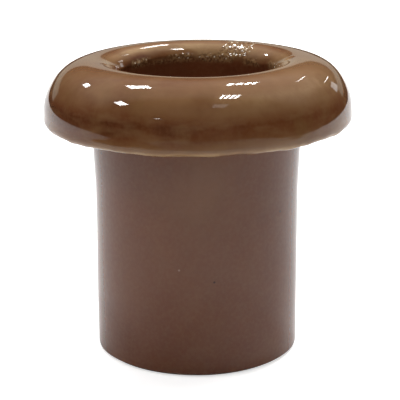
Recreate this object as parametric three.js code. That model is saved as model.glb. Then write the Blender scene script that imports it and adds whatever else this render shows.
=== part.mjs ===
// A glazed porcelain feed-through bushing: a plain tube with a rolled flange at its top end.
// The tube goes through a hole in a wall or panel, the flat underside of the flange seats on
// the surface, and a wire or cable passes through the bore over the rounded mouth.
//
// It is one fired ceramic part made of two materials: the porcelain body, and the brown glass
// coat that is fused over all of it but the foot, the ring that it stands on in the kiln.
//
// Units are millimetres. +Z is the axis of the bore, from the foot (z = 0) to the mouth.

import * as THREE from 'three';

// Driving dimensions, over the glaze.
const FLANGE_RADIUS = 15;
const SLEEVE_RADIUS = 10;
const BORE_RADIUS = 7.8;
const HEIGHT = 29.25;
const SEAT_HEIGHT = 23; // underside of the flange, which rests on the wall
const EQUATOR_HEIGHT = 23.75; // where the flange is widest
const CREST_RADIUS = 9.9; // circle of the flange's highest points
const THROAT_HEIGHT = 27.6; // where the rounded mouth becomes the straight bore
const SEAT_OUTER_RADIUS = 14.15; // edge of the flat part of the underside
const SEAT_FILLET = 0.5; // glaze pools in the corner under the flange
const DOME_POWER = 2.37; // 2 is an ellipse, more is squarer: a full, doughy shoulder

// The coat and the bare foot.
const GLAZE_THICKNESS = 0.2;
const GLAZE_CLEARANCE = 0.02; // keeps the two solids from sharing faces
const BODY_DEPTH = GLAZE_THICKNESS + GLAZE_CLEARANCE; // of the body under the glaze's surface
const FOOT_EDGE = 0.45; // rounding of both edges of the body's foot
const FOOT_WRAP = Math.PI / 18; // how far the coat turns in under those edges before it stops

const AROUND = 60; // facets round the axis
const HALF_PI = Math.PI / 2;

// Points on an arc about (r, z), with half widths a and b. Angles run from the +r direction
// towards +z. A power above 2 makes the quarter of a superellipse instead of an ellipse.
function arc(r, z, a, b, from, to, steps, power = 2) {
  const bulge = (t) => Math.sign(t) * Math.abs(t) ** (2 / power);
  return Array.from({ length: steps + 1 }, (_, i) => {
    const angle = from + ((to - from) * i) / steps;
    return new THREE.Vector2(r + a * bulge(Math.cos(angle)), z + b * bulge(Math.sin(angle)));
  });
}

// The section's open outline, a given depth under the surface of the glaze: round the outer edge
// of the foot from an angle below the horizontal, up the sleeve, round the flange and the mouth,
// down the bore and round the inner edge of the foot to the same angle.
function sectionOutline(depth, footAngle) {
  const turn = FOOT_EDGE + BODY_DEPTH - depth;
  const outerTurn = SLEEVE_RADIUS - BODY_DEPTH - FOOT_EDGE;
  const innerTurn = BORE_RADIUS + BODY_DEPTH + FOOT_EDGE;
  return [
    ...arc(outerTurn, FOOT_EDGE, turn, turn, -footAngle, 0, 3),
    ...arc(
      SLEEVE_RADIUS + SEAT_FILLET, SEAT_HEIGHT - SEAT_FILLET,
      SEAT_FILLET + depth, SEAT_FILLET + depth,
      Math.PI, HALF_PI, 3,
    ),
    ...arc(
      SEAT_OUTER_RADIUS, EQUATOR_HEIGHT,
      FLANGE_RADIUS - SEAT_OUTER_RADIUS - depth, EQUATOR_HEIGHT - SEAT_HEIGHT - depth,
      -HALF_PI, 0, 4,
    ),
    ...arc(
      CREST_RADIUS, EQUATOR_HEIGHT,
      FLANGE_RADIUS - CREST_RADIUS - depth, HEIGHT - EQUATOR_HEIGHT - depth,
      0, HALF_PI, 10, DOME_POWER,
    ).slice(1),
    ...arc(
      CREST_RADIUS, THROAT_HEIGHT,
      CREST_RADIUS - BORE_RADIUS - depth, HEIGHT - THROAT_HEIGHT - depth,
      HALF_PI, Math.PI, 5,
    ).slice(1),
    ...arc(innerTurn, FOOT_EDGE, turn, turn, -Math.PI, footAngle - Math.PI, 3),
  ];
}

// Turns a closed section about the bore's axis. A lathe turns about +Y, so it is laid over to +Z.
function ring(name, outline, material) {
  const geometry = new THREE.LatheGeometry([...outline, outline[0].clone()], AROUND);
  geometry.rotateX(HALF_PI);
  const mesh = new THREE.Mesh(geometry, material);
  mesh.name = name;
  return mesh;
}

// The porcelain body, whose foot is a flat ring that is bare and stands on the surface.
function porcelainBody() {
  const outline = sectionOutline(BODY_DEPTH, HALF_PI);
  const biscuit = new THREE.MeshStandardMaterial({ color: 0xd8d0c2, roughness: 0.75, metalness: 0 });
  return ring('porcelain_body', outline, biscuit);
}

// The glaze coat, a skin of even thickness that turns in under both edges of the foot and stops.
function glazeCoat() {
  const outer = sectionOutline(0, FOOT_WRAP);
  const inner = sectionOutline(GLAZE_THICKNESS, FOOT_WRAP);
  const brownGlaze = new THREE.MeshStandardMaterial({ color: 0x6b4630, roughness: 0.12, metalness: 0 });
  return ring('glaze_coat', [...outer, ...inner.reverse()], brownGlaze);
}

const bushing = new THREE.Group();
bushing.add(porcelainBody(), glazeCoat());

export default bushing;
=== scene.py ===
"""A brown-glazed porcelain feed-through bushing on a white board, under rows of ceiling lamps.

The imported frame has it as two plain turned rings, the porcelain body and the glaze coat. This
script turns the same sections again at a fine pitch, and gives them what firing and dipping do to
such a piece: a flange that has settled a little out of true, a beaded edge, a gritty throat and a
wandering glaze line at the foot. Lengths are in metres.
"""

import math
from types import SimpleNamespace

import bpy
import numpy as np
from mathutils import Matrix, Vector, noise


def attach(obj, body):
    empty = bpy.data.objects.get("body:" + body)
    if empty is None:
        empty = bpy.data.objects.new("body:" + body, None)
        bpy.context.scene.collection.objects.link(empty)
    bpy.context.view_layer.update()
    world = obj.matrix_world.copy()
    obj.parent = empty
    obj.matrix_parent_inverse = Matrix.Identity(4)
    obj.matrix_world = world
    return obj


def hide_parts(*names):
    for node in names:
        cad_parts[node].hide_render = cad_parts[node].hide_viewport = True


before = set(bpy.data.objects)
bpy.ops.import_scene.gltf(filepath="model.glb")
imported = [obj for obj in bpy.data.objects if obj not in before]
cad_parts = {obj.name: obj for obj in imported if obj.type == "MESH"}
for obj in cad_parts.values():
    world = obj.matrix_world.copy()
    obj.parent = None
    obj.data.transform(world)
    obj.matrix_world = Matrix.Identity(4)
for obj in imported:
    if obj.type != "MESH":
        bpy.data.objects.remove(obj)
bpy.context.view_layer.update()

MM = 0.001
AROUND_GLAZE = 480
AROUND_BODY = 240
HALF_TURN = math.pi
QUARTER = math.pi / 2

# The coat, as the CAD has it.
GLAZE_THICKNESS = 0.2 * MM
BODY_DEPTH = 0.22 * MM  # of the porcelain under the glaze's surface
FOOT_EDGE = 0.45 * MM
FOOT_WRAP = math.radians(10)
SEAT_FILLET = 0.5 * MM
DOME_POWER = 2.37

# What each point of the coat carries for its material, and the depth where nothing of it shows.
GLAZE_ATTRIBUTES = ("glaze_depth_and_painted_light", "grit", "painted_glints", "grains", "redness")
HIDDEN_DEPTH = 0.2


# ---------------------------------------------------------------------------------------------
# The section


def measure():
    """The driving dimensions, read off the CAD glaze coat's own section."""
    corners = np.array([v.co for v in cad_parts["glaze_coat"].data.vertices], float)
    radius, height = np.hypot(corners[:, 0], corners[:, 1]), corners[:, 2]
    near = 0.005 * MM
    flange, top, bore = radius.max(), height.max(), radius.min()
    sleeve = radius[height < top / 2].max()
    seat = height[radius > sleeve + 1.5 * SEAT_FILLET].min()
    return SimpleNamespace(
        flange=flange,
        top=top,
        bore=bore,
        sleeve=sleeve,
        seat=seat,
        seat_edge=radius[abs(height - seat) < near].max(),
        equator=height[radius > flange - near].mean(),
        crest=radius[height > top - near].mean(),
        throat=height[radius < bore + near].max(),
    )


size = measure()

# The middles of the arcs that round the two edges of the foot, as (radius, height).
FOOT_CENTRES = {
    "outer foot": (size.sleeve - BODY_DEPTH - FOOT_EDGE, FOOT_EDGE),
    "inner foot": (size.bore + BODY_DEPTH + FOOT_EDGE, FOOT_EDGE),
}


def arc(centre, widths, start, end, power=2.0, steps=96):
    """Points (radius, height) on an arc. Angles run from outward, which is 0, towards up."""
    angle = np.linspace(start, end, steps + 1)
    across, along = np.cos(angle), np.sin(angle)
    across, along = (np.sign(t) * np.abs(t) ** (2 / power) for t in (across, along))
    return np.column_stack([centre[0] + widths[0] * across, centre[1] + widths[1] * along])


def evenly(points, pitch):
    """The same line with points about a pitch apart, both ends kept."""
    along = np.concatenate([[0], np.cumsum(np.hypot(*np.diff(points, axis=0).T))])
    places = np.linspace(0, along[-1], max(2, round(along[-1] / pitch) + 1))
    return np.column_stack([np.interp(places, along, points[:, i]) for i in (0, 1)])


def outline(depth, foot_angle, fineness=1.0):
    """The open section at a depth under the glaze's surface, as (points, zone of each point).

    It runs round the outer edge of the foot, up the sleeve, over the flange and the mouth, down
    the bore and round the inner edge of the foot. Each zone has its own pitch.
    """
    turn = FOOT_EDGE + BODY_DEPTH - depth
    fillet = (size.sleeve + SEAT_FILLET, size.seat - SEAT_FILLET)
    edge = (size.seat_edge, size.equator)
    grit_end = size.throat - 2 * MM
    stretches = [
        ("outer foot", 0.10, arc(FOOT_CENTRES["outer foot"], (turn, turn), -foot_angle, 0)),
        ("sleeve", 1.2, [(size.sleeve - depth, FOOT_EDGE), (size.sleeve - depth, fillet[1])]),
        ("fillet", 0.14, arc(fillet, (SEAT_FILLET + depth,) * 2, HALF_TURN, QUARTER)),
        ("seat", 0.5, [(fillet[0], size.seat + depth), (edge[0], size.seat + depth)]),
        ("edge", 0.07, arc(edge, (size.flange - edge[0] - depth, edge[1] - size.seat - depth),
                           -QUARTER, 0)),
        ("dome", 0.25, arc((size.crest, size.equator),
                           (size.flange - size.crest - depth, size.top - size.equator - depth),
                           0, QUARTER, DOME_POWER)),
        ("mouth", 0.10, arc((size.crest, size.throat),
                            (size.crest - size.bore - depth, size.top - size.throat - depth),
                            QUARTER, HALF_TURN)),
        ("throat", 0.09, [(size.bore + depth, size.throat), (size.bore + depth, grit_end)]),
        ("bore", 1.3, [(size.bore + depth, grit_end), (size.bore + depth, FOOT_EDGE)]),
        ("inner foot", 0.10, arc(FOOT_CENTRES["inner foot"], (turn, turn),
                                 -HALF_TURN, foot_angle - HALF_TURN)),
    ]
    points, zones = [], []
    for zone, pitch, line in stretches:
        line = evenly(np.array(line), pitch * MM * fineness)
        skipped = 1 if points else 0
        points.extend(line[skipped:])
        zones.extend([zone] * (len(line) - skipped))
    return np.array(points), np.array(zones)


def outward(points):
    """Unit normals of an outline, to its right as it runs."""
    along = np.gradient(points, axis=0)
    normal = np.column_stack([along[:, 1], -along[:, 0]])
    return normal / np.linalg.norm(normal, axis=1, keepdims=True)


def turned(points, around):
    """The outline's points (radius, height) turned about Z: an array of rows by steps by xyz."""
    angle = np.linspace(0, 2 * math.pi, around, endpoint=False)
    radius, height = points[:, 0, None], points[:, 1, None]
    ones = np.ones_like(angle)
    return np.stack([radius * np.cos(angle), radius * np.sin(angle), height * ones], axis=-1)


# ---------------------------------------------------------------------------------------------
# What firing and dipping do


def ramp(value, low, high):
    """0 below low, 1 above high, smooth between. It falls instead if high is the smaller."""
    t = np.clip((value - low) / (high - low), 0, 1)
    return t * t * (3 - 2 * t)


def each(points, sample):
    """sample(Vector) at each of an array of points."""
    flat = points.reshape(-1, 3)
    return np.array([sample(Vector(p)) for p in flat]).reshape(points.shape[:-1])


def waviness(points, feature, seed):
    """Smooth noise, mostly within -0.5 to 0.5, with features of the given size."""
    away = Vector((3.1, 7.7, 5.3)) * seed
    return each(points, lambda p: noise.noise(p / feature + away))


def beads(points, spacing, radius, seed):
    """Separate round bumps from 0 to 1, strewn about the given spacing apart."""
    away = Vector((9.2, 1.9, 4.4)) * seed
    nearest = each(points, lambda p: noise.voronoi(p / spacing + away)[0][0])
    return np.clip(1 - (nearest * spacing / radius) ** 2, 0, 1)


def bearing(points):
    """Each point's direction about Z, in degrees from +X, from -180 to 180."""
    return np.degrees(np.arctan2(points[..., 1], points[..., 0]))


def facing(points, direction):
    """1 on the side of the piece that faces a bearing in degrees, down to -1 on the far side."""
    return np.cos(np.radians(bearing(points) - direction))


def settled(points):
    """Points of the whole piece after firing, with its flange sagged a little out of true.

    The flange is up on the +X side and fuller there. Its shoulders have slumped at both sides,
    and its rim curls up a little. The sleeve flares into it.
    """
    x, y, z = np.moveaxis(points, -1, 0)
    radius = np.hypot(x, y)
    right = facing(points, 0)
    flange = ramp(z, size.seat - 1.5 * MM, size.seat + 1.5 * MM)
    sleeve = 1 - flange
    outer = ramp(radius, size.crest + 1.5 * MM, size.flange)
    shoulder = outer * ramp(z, 25.3 * MM, 27.6 * MM)
    rim = outer * ramp(z, 25.2 * MM, 23.6 * MM)
    out = -0.13 * MM * shoulder * ramp(-right, 0.5, 1.0)
    out -= 0.11 * MM * shoulder * ramp(right, 0.5, 1.0)
    out -= 0.07 * MM * rim * ramp(-right, 0.4, 1.0)
    out += 0.08 * MM * outer * ramp(right, 0.3, 1.0)
    out += MM * sleeve * (0.02 + 0.20 * ramp(z, 16.0 * MM, 22.0 * MM))
    out += MM * sleeve * ramp(-right, 0.3, 1.0) * (0.06 + 0.08 * ramp(z, 14.0 * MM, 6.0 * MM))
    scale = 1 + out / radius + 0.0010 * np.cos(np.radians(2 * bearing(points) - 30))
    lobes = 0.03 * MM * np.cos(np.radians(3 * bearing(points) + 40))
    lift = flange * (x * math.tan(math.radians(0.48)) + lobes) + 0.07 * MM * rim
    return np.stack([x * scale + 0.06 * MM * flange, y * scale, z + lift], axis=-1)


def dent(points, place, radius):
    """1 at a place, down to 0 at a radius round it, both given in millimetres."""
    away = np.linalg.norm(points - np.array(place) * MM, axis=-1)
    return ramp(away, radius * MM, 0)


def grit_share(points, zones):
    """Where the mouth turns into the bore and the coat is sugary: 1 there, 0 elsewhere.

    It is thickest on the far and +X sides, and climbs the mouth between them.
    """
    height = points[..., 2]
    climb = 1.15 * MM * ramp(facing(points, 61), 0.968, 0.992)
    band = ramp(height, size.throat - 0.5 * MM, size.throat + 0.1 * MM)
    band = band * ramp(height, size.throat + 0.8 * MM + climb, size.throat + 0.5 * MM + climb)
    band = band * np.isin(zones[:, None], ["mouth", "throat"])
    favoured = 0.5 * facing(points, 75) - 0.1
    return band * ramp(waviness(points, 2.0 * MM, 5) + favoured, -0.15, 0.25)


def crystals(points, grit):
    """The grains of the sugary stretch, from 0 between them to 1 on top of one."""
    large = beads(points, 0.60 * MM, 0.24 * MM, 6)
    small = beads(points, 0.40 * MM, 0.16 * MM, 7)
    return grit * np.maximum(large, 0.8 * small)


def glaze_relief(points, zones, grains):
    """How far the glaze's surface stands proud of its even section, in metres."""
    height = points[..., 2]
    zone = zones[:, None]
    relief = 0.009 * MM * waviness(points, 6 * MM, 1)
    relief += 0.0015 * MM * waviness(points, 1.5 * MM, 2)

    # A thick bead along the flange's lower edge, which hung there and ran together in drops.
    at_edge = np.isin(zone, ["edge", "seat"]) * ramp(height, size.equator, size.seat + 0.05 * MM)
    at_edge = at_edge * ramp(np.hypot(points[..., 0], points[..., 1]),
                             size.seat_edge - 1.6 * MM, size.seat_edge)
    ring = points * (1, 1, 0)
    drops = waviness(ring, 2.6 * MM, 3) + 0.6 * waviness(ring, 1.1 * MM, 4)
    relief += at_edge * MM * (0.02 + 0.10 * drops)
    relief += 0.08 * MM * grains

    # The roll at which the coat stopped running into the bore.
    roll_height = size.throat + MM * (0.35 + 0.5 * waviness(ring, 3.5 * MM, 8))
    roll = np.exp(-(((height - roll_height) / (0.16 * MM)) ** 2))
    relief += 0.035 * MM * roll * np.isin(zone, ["mouth", "throat"])

    # Two finger dents on the mouth's inner lip, left and right.
    for place in ((-8.75, -2.1, 29.05), (8.95, -0.2, 29.05)):
        relief -= 0.08 * MM * dent(points, place, 0.75)
    return relief


def foot_slide(points, zones, weights):
    """Points with the glaze line wandering: each foot point turns a little about its edge's centre."""
    ring = points * (1, 1, 0)
    wander = math.radians(16) * waviness(ring, 3 * MM, 9)
    slid = points.copy()
    for zone, (radius, height) in FOOT_CENTRES.items():
        side = 1 if zone == "outer foot" else -1
        rows = zones == zone
        swing = (side * weights[rows, None] * wander[rows])[..., None]
        flat = np.hypot(points[rows][..., 0], points[rows][..., 1])[..., None]
        out, up = flat - radius, points[rows][..., 2:] - height
        new_out = out * np.cos(swing) - up * np.sin(swing)
        new_up = out * np.sin(swing) + up * np.cos(swing)
        scale = (radius + new_out) / flat
        slid[rows] = np.concatenate([points[rows][..., :2] * scale, height + new_up], axis=-1)
    return slid


# ---------------------------------------------------------------------------------------------
# The pieces


def closed_ring(name, grid):
    """A mesh object from rows of points, closed both along the section and round the axis."""
    rows, steps = grid.shape[:2]
    index = np.arange(rows * steps).reshape(rows, steps)
    after, beside = np.roll(index, -1, axis=0), np.roll(index, -1, axis=1)
    corner = np.roll(after, -1, axis=1)
    faces = np.stack([index, beside, corner, after], axis=-1).reshape(-1, 4)
    mesh = bpy.data.meshes.new(name)
    mesh.from_pydata(grid.reshape(-1, 3).tolist(), [], faces.tolist())
    mesh.shade_smooth()
    piece = bpy.data.objects.new(name, mesh)
    bpy.context.scene.collection.objects.link(piece)
    return piece


def write_attribute(piece, name, values):
    """Keeps one number per vertex on the mesh, for its material to read."""
    made = piece.data.attributes.new(name, "FLOAT", "POINT")
    made.data.foreach_set("value", values.astype(np.float32).ravel())


def foot_cap(upper, lower, steps=4):
    """The rounded end of the coat, from its last upper point round to its first lower one."""
    middle, half = (upper + lower) / 2, (upper - lower) / 2
    out = np.array([half[1], -half[0]])
    angles = np.linspace(0, HALF_TURN, steps + 2)[1:-1]
    return np.array([middle + half * math.cos(a) + out * math.sin(a) for a in angles])


def glaze_depth_and_painted_light(points, zones, relief):
    """How deep the glaze lies, from 0 where it has run off an edge to 1 where it has pooled. On the
    sleeve it also holds painted light: the side towards the viewer and a round patch in the middle of
    its front are made shallower, so lighter, as if lit from the front.
    """
    height = points[..., 2]
    above_seat = (height - size.seat) / MM
    zone = zones[:, None]
    depth = np.full(height.shape, 0.70)
    outside = np.interp(above_seat, (0.3, 1.6, 2.8, 3.9, 5.0, 6.2),
                        (0.32, 0.80, 0.92, 0.47, 0.32, 0.55))
    outside -= 0.15 * ramp(facing(points, -45), 0.5, 1.0)
    tongues = 0.55 * waviness(points * (1, 1, 0.3), 2.2 * MM, 12)
    tongues += 0.85 * ramp(facing(points, 118), 0.85, 0.98)
    tongues += 0.45 * ramp(-facing(points, 0), 0.4, 1.0)
    tongues *= ramp(above_seat, 6.1, 5.4)
    inside = np.interp(above_seat - tongues, (4.3, 4.7, 5.2, 5.6, 6.0, 6.2),
                       (0.75, 0.42, 0.15, -0.05, -0.10, 0.3))
    inside += 0.30 * ramp(facing(points, 30), 0.6, 1.0)
    inside += 0.35 * ramp(-facing(points, 0), 0.75, 1.0)
    depth = np.where(np.isin(zone, ["edge", "dome"]), outside, depth)
    depth = np.where(np.isin(zone, ["mouth", "throat"]), inside, depth)
    depth += (0.10 + 0.15 * facing(points, 0)) * (zone == "bore")
    depth += 0.30 * (zone == "fillet")
    # Painted light on the sleeve: lighter on the side towards the viewer and in a round patch in the
    # middle of its front, as if lit from the front. It also gets darker towards the bottom.
    painted_front_light = np.maximum(facing(points, -90), 0)
    painted_lit_patch = dent(points, (0, -10, 19.0), 6.5)
    sleeve_shift_and_painted_light = 0.20 - 0.24 * painted_front_light - 0.40 * painted_lit_patch + 0.08 * ramp(height, 9 * MM, 3 * MM)
    depth += sleeve_shift_and_painted_light * (zone == "sleeve")
    on_edge = np.exp(-(((above_seat - 0.22) / 0.2) ** 2)) * (zone == "edge")
    depth -= 0.32 * on_edge
    depth -= 0.45 * np.isin(zone, ["outer foot", "inner foot"]) * ramp(height, 0.45 * MM, 0.15 * MM)
    depth += 0.10 * waviness(points, 4 * MM, 10)
    return np.clip(depth + 1.2 * relief / MM, 0, 1)


def redness(points, zones):
    """How much redder and calmer the glaze fired: 1 on the sleeve and in the bore, 0 on the flange."""
    zone = zones[:, None]
    flange = np.isin(zone, ["seat", "edge", "dome"]) * np.ones(points.shape[:2])
    above_bore = ramp(points[..., 2], size.throat - 0.1 * MM, size.throat + 0.3 * MM)
    return 1 - np.where(zone == "mouth", above_bore, flange)


def hidden_glaze(points, zone_names):
    """A plain stretch of the coat that never shows, in the form that shown_glaze returns."""
    grid = turned(points, AROUND_GLAZE)
    plain = np.zeros(grid.shape[:2])
    looks = {name: plain for name in GLAZE_ATTRIBUTES}
    looks["glaze_depth_and_painted_light"] = plain + HIDDEN_DEPTH
    return grid, np.array(zone_names), looks


def shown_glaze(outer, zones):
    """The coat's wavy outer surface, as (points, zone of each row, values by attribute)."""
    surface = turned(outer, AROUND_GLAZE)
    normals = turned(outward(outer), AROUND_GLAZE)
    grit = grit_share(surface, zones)
    grains = crystals(surface, grit)
    upper = ramp(surface[..., 2], size.throat + 0.05 * MM, size.throat + 0.30 * MM)
    relief = glaze_relief(surface, zones, grains)
    raised = surface + normals * relief[..., None]
    looks = {
        "glaze_depth_and_painted_light": glaze_depth_and_painted_light(surface, zones, relief),
        "grit": grit,
        # Painted glints: near-white specks along the upper grit band, put into the material's colour.
        "painted_glints": grit * upper * beads(surface, 0.55 * MM, 0.15 * MM, 13),
        "grains": grains,
        "redness": redness(raised, zones),
    }
    return raised, zones, looks


def make_glaze():
    """The glaze coat: a wavy outer surface, a plain inner one, and a rounded end at each glaze line."""
    outer, zones = outline(0, FOOT_WRAP)
    inner, inner_zones = outline(GLAZE_THICKNESS, FOOT_WRAP, fineness=5)
    inner, inner_zones = inner[::-1], inner_zones[::-1]
    bore_cap, sleeve_cap = foot_cap(outer[-1], inner[0]), foot_cap(inner[-1], outer[0])
    parts = [
        shown_glaze(outer, zones),
        hidden_glaze(bore_cap, ["inner foot"] * len(bore_cap)),
        hidden_glaze(inner, inner_zones),
        hidden_glaze(sleeve_cap, ["outer foot"] * len(sleeve_cap)),
    ]
    grids, part_zones, looks = zip(*parts)
    grid, zones = np.concatenate(grids), np.concatenate(part_zones)
    weights = ramp(grid[:, 0, 2], FOOT_EDGE, 0.2 * MM)
    piece = closed_ring("glaze_skin", settled(foot_slide(grid, zones, weights)))
    for name in GLAZE_ATTRIBUTES:
        write_attribute(piece, name, np.concatenate([values[name] for values in looks]))
    return piece


def make_body():
    """The porcelain body, with a foot ring that is a little rough from the kiln shelf."""
    points, _ = outline(BODY_DEPTH, QUARTER, fineness=2.4)
    ends = evenly(np.array([points[-1], points[0]]), 0.15 * MM)[1:-1]
    foot_rows = np.arange(len(points) + len(ends)) >= len(points)
    grid = turned(np.concatenate([points, ends]), AROUND_BODY)
    chips = 0.03 * MM * (0.5 + waviness(grid, 0.7 * MM, 11)) * foot_rows[:, None]
    grid[..., 2] += np.maximum(chips, 0)
    return closed_ring("porcelain_core", settled(grid))


# ---------------------------------------------------------------------------------------------
# Materials


NOISE_LOW, NOISE_HIGH = 0.3, 0.7  # where most of a noise node's output lies


def fill_ramp(node, stops):
    """Gives a colour ramp node its (place, colour) stops."""
    elements = node.color_ramp.elements
    while len(elements) < len(stops):
        elements.new(0.5)
    for element, (place, colour) in zip(elements, stops):
        element.position = place
        element.color = (*colour, 1)


class Graph:
    """A material's node tree, built up node by node."""

    def __init__(self, name):
        self.material = bpy.data.materials.new(name)
        self.material.use_nodes = True
        self.tree = self.material.node_tree
        self.shader = self.tree.nodes["Principled BSDF"]
        self.object_coordinates = self.add("ShaderNodeTexCoord").outputs["Object"]

    def add(self, kind, **settings):
        node = self.tree.nodes.new(kind)
        for key, value in settings.items():
            setattr(node, key, value)
        return node

    def link(self, source, target):
        self.tree.links.new(source, target)

    def noise(self, feature, detail=2.0, roughness=0.5, stretch=(1, 1, 1)):
        """Noise with features of a size in metres, and its 0 to 1 output."""
        mapping = self.add("ShaderNodeMapping")
        mapping.inputs["Scale"].default_value = [s / feature for s in stretch]
        self.link(self.object_coordinates, mapping.inputs["Vector"])
        node = self.add("ShaderNodeTexNoise")
        node.inputs["Scale"].default_value = 1.0
        node.inputs["Detail"].default_value = detail
        node.inputs["Roughness"].default_value = roughness
        self.link(mapping.outputs["Vector"], node.inputs["Vector"])
        return node.outputs["Fac"]

    def ramp(self, value, stops):
        """A colour ramp through (place, colour) stops."""
        node = self.add("ShaderNodeValToRGB")
        fill_ramp(node, stops)
        self.link(value, node.inputs["Fac"])
        return node.outputs["Color"]

    def separate(self, axis):
        """One of the object's own coordinates."""
        node = self.add("ShaderNodeSeparateXYZ")
        self.link(self.object_coordinates, node.inputs["Vector"])
        return node.outputs[axis]

    def fade(self, value, start, end, full=1.0):
        """0 at the start value, smoothly up to full at the end value."""
        node = self.add("ShaderNodeMapRange", interpolation_type="SMOOTHSTEP")
        node.inputs["From Min"].default_value = start
        node.inputs["From Max"].default_value = end
        node.inputs["To Max"].default_value = full
        self.link(value, node.inputs["Value"])
        return node.outputs["Result"]

    def fade_evenly(self, value, start, end):
        """0 at the start value, straight up to 1 at the end value."""
        node = self.add("ShaderNodeMapRange")
        node.inputs["From Min"].default_value = start
        node.inputs["From Max"].default_value = end
        self.link(value, node.inputs["Value"])
        return node.outputs["Result"]

    def spread(self, value, low, high):
        """A noise's output taken from low to high over the range that it mostly stays within."""
        node = self.add("ShaderNodeMapRange")
        node.inputs["From Min"].default_value = NOISE_LOW
        node.inputs["From Max"].default_value = NOISE_HIGH
        node.inputs["To Min"].default_value = low
        node.inputs["To Max"].default_value = high
        self.link(value, node.inputs["Value"])
        return node.outputs["Result"]

    def sum(self, first, second):
        node = self.add("ShaderNodeMath", operation="ADD")
        self.link(first, node.inputs[0])
        self.link(second, node.inputs[1])
        return node.outputs["Value"]

    def mix(self, share, first, second):
        """first where share is 0 and second where it is 1. Either may be a colour or a socket."""
        node = self.add("ShaderNodeMix", data_type="RGBA")
        for socket, value in ((node.inputs["Factor"], share), (node.inputs[6], first),
                              (node.inputs[7], second)):
            if isinstance(value, tuple):
                socket.default_value = (*value, 1)
            elif isinstance(value, float):
                socket.default_value = value
            else:
                self.link(value, socket)
        return node.outputs[2]

    def bump(self, height, distance, strength=1.0):
        node = self.add("ShaderNodeBump")
        node.inputs["Distance"].default_value = distance
        node.inputs["Strength"].default_value = strength
        self.link(height, node.inputs["Height"])
        self.link(node.outputs["Normal"], self.shader.inputs["Normal"])

    def speck(self, centre, radius):
        """1 within a radius of a point in the object's frame, 0 outside it."""
        away = self.add("ShaderNodeVectorMath", operation="DISTANCE")
        away.inputs[1].default_value = centre
        self.link(self.object_coordinates, away.inputs[0])
        return self.fade(away.outputs["Value"], radius, radius * 0.4)


def on_sleeve(turn_degrees, height):
    """A point on the sleeve's surface."""
    turn = math.radians(turn_degrees)
    return (size.sleeve * math.cos(turn), size.sleeve * math.sin(turn), height)


def brown_glaze():
    """Iron-brown glass: tan where it is thin, red-brown where it is deep, mottled, and very glossy. Its
    colour also holds painted light: a lighter sleeve front that comes in through the depth attribute,
    and near-white painted glints on the grit.
    """
    g = Graph("brown_glaze")
    depth, grit, painted_glints, grains, red = (
        g.add("ShaderNodeAttribute", attribute_name=name).outputs["Fac"]
        for name in GLAZE_ATTRIBUTES
    )
    olive, rust, straw = (0.205, 0.108, 0.040), (0.140, 0.044, 0.018), (0.250, 0.138, 0.064)
    maroon, fleck, crystal_tint_and_glint = (0.166, 0.049, 0.020), (0.235, 0.108, 0.050), (0.50, 0.38, 0.24)
    sugar, tar, glint = (0.36, 0.22, 0.10), (0.13, 0.062, 0.024), (0.95, 0.82, 0.62)
    drift = g.spread(g.noise(2.2 * MM, detail=4), -0.05, 0.05)
    # The depth attribute also carries painted light: on the sleeve it is lighter towards the viewer, as
    # if lit from the front.
    colour = g.ramp(g.sum(depth, drift), [
        (0.00, (0.380, 0.235, 0.117)),
        (0.25, (0.262, 0.138, 0.062)),
        (0.50, (0.200, 0.090, 0.036)),
        (0.75, (0.140, 0.047, 0.016)),
        (1.00, (0.070, 0.020, 0.006)),
    ])
    olive_patches = g.noise(3.2 * MM, detail=3, stretch=(1, 1, 0.6))
    colour = g.mix(g.spread(olive_patches, -0.55, 0.50), colour, olive)
    red_patches = g.noise(3.6 * MM, detail=3, stretch=(0.9, 1.1, 0.7))
    colour = g.mix(g.spread(red_patches, -0.35, 0.50), colour, rust)
    streaks = g.noise(1.1 * MM, detail=2, stretch=(0.3, 0.3, 1.0))
    streaked = g.mix(g.spread(streaks, -0.50, 0.42), colour, straw)
    redder = g.mix(0.60, colour, maroon)
    colour = g.mix(red, streaked, redder)
    gritty = g.mix(g.spread(g.noise(0.25 * MM), -0.6, 1.6), sugar, tar)
    colour = g.mix(g.fade(grit, 0.0, 1.0, 0.65), colour, gritty)
    grain = g.noise(0.35 * MM, detail=2)
    colour = g.mix(g.spread(grain, -0.06, 0.20), colour, fleck)
    # Pale tint on the grain tops: partly the crystals' own colour, partly a painted glint.
    colour = g.mix(g.fade(grains, 0.35, 0.85, 0.45), colour, crystal_tint_and_glint)
    # Painted glints: near-white specks painted into the base colour where the grit would catch the
    # lamps.
    colour = g.mix(g.fade(painted_glints, 0.1, 0.6), colour, glint)
    dark, pale = (0.035, 0.012, 0.006), (0.32, 0.19, 0.12)
    for turn, height, radius, tint in (  # degrees, mm, mm, colour
        (-152, 21.0, 0.40, dark), (-81, 9.7, 0.15, dark), (-100, 10.9, 0.14, pale),
        (-38, 15.5, 0.16, dark), (35, 6.5, 0.25, dark), (118, 17.0, 0.18, pale),
    ):
        place = on_sleeve(turn, height * MM)
        colour = g.mix(g.speck(place, radius * MM), colour, tint)
    g.link(colour, g.shader.inputs["Base Color"])
    polish = g.spread(g.noise(1.6 * MM), 0.03, 0.07)
    g.link(g.sum(polish, g.fade(grains, 0.5, 1.0, 0.08)), g.shader.inputs["Roughness"])
    g.shader.inputs["IOR"].default_value = 1.48
    g.bump(g.noise(0.8 * MM, detail=3), 0.0015 * MM)
    return g.material


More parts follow.
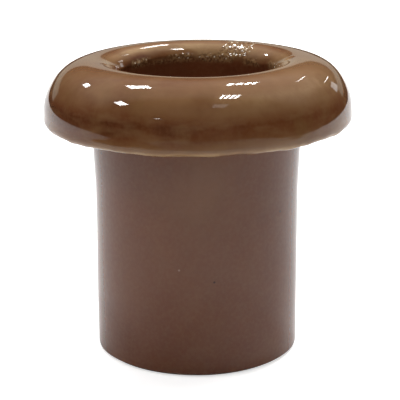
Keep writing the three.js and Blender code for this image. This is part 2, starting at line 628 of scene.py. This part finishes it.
def bare_porcelain():
    """Unglazed porcelain: warm off-white, dull, sandy, with a rusty tint and iron specks."""
    g = Graph("bare_porcelain")
    stain = g.noise(2.5 * MM, detail=4)
    colour = g.ramp(stain, [
        (0.30, (0.70, 0.62, 0.52)),
        (0.55, (0.60, 0.50, 0.39)),
        (0.75, (0.42, 0.29, 0.19)),
    ])
    speckle = g.noise(0.25 * MM, detail=3, roughness=0.7)
    colour = g.mix(g.spread(speckle, 0.25, -0.2), colour, (0.28, 0.19, 0.13))
    g.link(colour, g.shader.inputs["Base Color"])
    g.link(g.spread(speckle, 0.70, 0.88), g.shader.inputs["Roughness"])
    g.bump(g.noise(0.12 * MM, detail=3, roughness=0.65), 0.03 * MM)
    return g.material


# ---------------------------------------------------------------------------------------------
# The set


def make_camera():
    """A long lens close in front and above, with the bushing a little left of the middle."""
    focal_length = 116  # in mm
    distance, height = 8.25 * size.flange, 3.446 * size.flange
    data = bpy.data.cameras.new("camera")
    data.lens = focal_length
    data.clip_start, data.clip_end = 0.005, 20
    camera = bpy.data.objects.new("camera", data)
    bpy.context.scene.collection.objects.link(camera)
    look_down, look_right, roll = math.radians(16.58), math.radians(0.13), math.radians(0.3)
    turn = (
        Matrix.Rotation(-look_right, 4, "Z")
        @ Matrix.Rotation(QUARTER - look_down, 4, "X")
        @ Matrix.Rotation(-roll, 4, "Z")
    )
    place = Vector((0, -distance, height))
    camera.matrix_world = Matrix.Translation(place) @ turn
    bpy.context.scene.camera = camera


def make_camera_body():
    """The dark back of the camera, just behind its lens, that the flange and the board can see."""
    width, height, gap = 0.16, 0.08, 0.006
    mesh = bpy.data.meshes.new("camera_body")
    corners = [(x * width / 2, y * height / 2, gap) for x, y in ((-1, -1), (1, -1), (1, 1), (-1, 1))]
    mesh.from_pydata(corners, [], [(0, 1, 2, 3)])
    body = bpy.data.objects.new("camera_body", mesh)
    body.matrix_world = bpy.context.scene.camera.matrix_world
    body.visible_camera = False
    bpy.context.scene.collection.objects.link(body)
    g = Graph("camera_black")
    g.link(g.spread(g.noise(5 * MM), 0.5, 0.6), g.shader.inputs["Roughness"])
    g.shader.inputs["Base Color"].default_value = (0.03, 0.03, 0.03, 1)
    mesh.materials.append(g.material)


def make_board():
    """The white sheet that the bushing stands on. Its colour darkens towards the viewer, a painted
    shade.

    The glaze mirrors its two side edges as sharp lines and its dim end as a soft one. The camera
    sees the sheet white all over.
    """
    corners = [(-0.09, -0.34), (0.18, -0.34), (0.18, 0.60), (-0.43, 0.60)]
    mesh = bpy.data.meshes.new("board")
    mesh.from_pydata([(x, y, 0) for x, y in corners], [], [(0, 1, 2, 3)])
    board = bpy.data.objects.new("board", mesh)
    board.location.z = -0.02 * MM
    bpy.context.scene.collection.objects.link(board)

    g = Graph("white_board")
    # Painted shade: the sheet's base colour darkens from its back towards its front edge, nearest the
    # viewer.
    painted_shade_tone = g.ramp(g.fade_evenly(g.separate("Y"), -0.34, 0.0), [
        (0.00, (0.06,) * 3),
        (0.32, (0.25,) * 3),
        (0.50, (0.42,) * 3),
        (0.69, (0.62,) * 3),
        (1.00, (0.84,) * 3),
    ])
    g.link(painted_shade_tone, g.shader.inputs["Base Color"])
    g.shader.inputs["Roughness"].default_value = 0.9
    g.shader.inputs["Specular IOR Level"].default_value = 0.1
    seen = g.add("ShaderNodeLightPath").outputs["Is Camera Ray"]
    lift = g.mix(seen, (0.0, 0.0, 0.0), g.mix(painted_shade_tone, (1.25, 1.25, 1.25), (0.54, 0.54, 0.54)))
    g.link(lift, g.shader.inputs["Emission Color"])
    g.shader.inputs["Emission Strength"].default_value = 1.0
    board.data.materials.append(g.material)


def area_light(name, place, width, length, radiance, aim=None):
    """A rectangular lamp that no camera ray sees. It faces down, or towards aim."""
    data = bpy.data.lights.new(name, "AREA")
    data.shape = "RECTANGLE"
    data.size, data.size_y = width, length
    data.energy = radiance * math.pi * width * length
    lamp = bpy.data.objects.new(name, data)
    lamp.location = place
    if aim is not None:
        lamp.rotation_euler = (Vector(aim) - Vector(place)).to_track_quat("-Z", "Y").to_euler()
    lamp.visible_camera = False
    bpy.context.scene.collection.objects.link(lamp)
    return lamp


CEILING = 2.0


def make_lamps():
    """Ceiling fittings in rows, each of a few parallel tubes, over and behind the board."""
    tube_length = 0.40
    fittings = (  # x, y, tubes, gap between their middles, width of a tube, radiance
        (0.38, 1.78, 4, 0.080, 0.036, 50),
        (0.48, -0.08, 4, 0.080, 0.036, 50),
        (-0.63, 1.25, 4, 0.080, 0.055, 50),
        (-1.88, 2.05, 6, 0.065, 0.045, 40),
        (-1.88, -0.43, 6, 0.065, 0.050, 45),
        (-1.88, -3.20, 5, 0.065, 0.050, 14),
        (0.50, -1.06, 4, 0.080, 0.070, 1.6),
    )
    for number, (x, y, tubes, gap, width, radiance) in enumerate(fittings, 1):
        for i in range(tubes):
            across = (i - (tubes - 1) / 2) * gap
            name = f"fitting_{number}_tube_{i + 1}"
            area_light(name, (x + across, y, CEILING), width, tube_length, radiance)
    area_light("long_tube_near", (1.27, 2.25, CEILING), 0.020, 0.9, 22)
    area_light("long_tube_far", (2.93, 3.95, CEILING), 0.035, 1.5, 30)
    area_light("dim_panel", (4.5, 5.0, 1.67), 0.9, 0.9, 1.7, aim=(0, 0, 0))


def make_soft_light():
    """Two soft sources, behind and in front, for the shading. The glaze doesn't mirror them."""
    back = area_light("soft_back", (0.22, 0.55, 0.62), 0.8, 0.8, 3.6, aim=(0, 0, 0))
    front = area_light("soft_front", (-0.10, -0.50, 0.70), 0.7, 0.7, 1.15, aim=(0, 0, 0))
    back.visible_glossy = front.visible_glossy = False


def make_room():
    """White behind the board for the camera. For the glaze, a ceiling that is lit over the far side."""
    world = bpy.data.worlds.new("room")
    bpy.context.scene.world = world
    world.use_nodes = True
    nodes, links = world.node_tree.nodes, world.node_tree.links
    nodes.clear()

    def tones(value, stops):
        ramp_node = nodes.new("ShaderNodeValToRGB")
        fill_ramp(ramp_node, [(place, (level,) * 3) for place, level in stops])
        links.new(value, ramp_node.inputs["Fac"])
        return ramp_node.outputs["Color"]

    direction = nodes.new("ShaderNodeSeparateXYZ")
    links.new(nodes.new("ShaderNodeTexCoord").outputs["Generated"], direction.inputs["Vector"])
    forward = nodes.new("ShaderNodeMapRange")
    forward.inputs["From Min"].default_value = -1
    links.new(direction.outputs["Y"], forward.inputs["Value"])
    by_height = tones(direction.outputs["Z"], (
        (0.0, 0.02), (0.24, 0.03), (0.36, 0.07), (0.47, 0.16), (0.58, 0.36), (0.80, 0.48), (1.0, 0.48),
    ))
    by_depth = tones(forward.outputs["Result"], ((0.0, 0.05), (0.40, 0.06), (0.53, 1.0), (1.0, 1.0)))
    both = nodes.new("ShaderNodeVectorMath")
    both.operation = "MULTIPLY"
    links.new(by_height, both.inputs[0])
    links.new(by_depth, both.inputs[1])

    room, white = nodes.new("ShaderNodeBackground"), nodes.new("ShaderNodeBackground")
    links.new(both.outputs["Vector"], room.inputs["Color"])
    white.inputs["Color"].default_value = (1, 1, 1, 1)
    seen = nodes.new("ShaderNodeLightPath").outputs["Is Camera Ray"]
    either = nodes.new("ShaderNodeMixShader")
    links.new(seen, either.inputs["Fac"])
    links.new(room.outputs["Background"], either.inputs[1])
    links.new(white.outputs["Background"], either.inputs[2])
    output = nodes.new("ShaderNodeOutputWorld")
    links.new(either.outputs["Shader"], output.inputs["Surface"])


def make_far_wall():
    """A pale stretch low on the far wall, which shows along the crest as a grey sheen."""
    distance, bottom, top = 2.0, 0.15, 0.48
    middle = (bottom + top) / 2
    wall = area_light("far_wall", (0, distance, middle), 3.6, top - bottom, 0.42, aim=(0, 0, middle))
    wall.data.color = (1.0, 1.0, 0.86)


# ---------------------------------------------------------------------------------------------


def finish_piece(piece, node, material):
    """Gives a piece its material, and has it stand for its CAD node on the one body."""
    piece.data.materials.append(material)
    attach(piece, "root")
    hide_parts(node)


make_camera()
make_camera_body()
make_board()
make_room()
make_far_wall()
make_lamps()
make_soft_light()
finish_piece(make_body(), "porcelain_body", bare_porcelain())
finish_piece(make_glaze(), "glaze_coat", brown_glaze())
bpy.context.scene.view_settings.view_transform = "Standard"
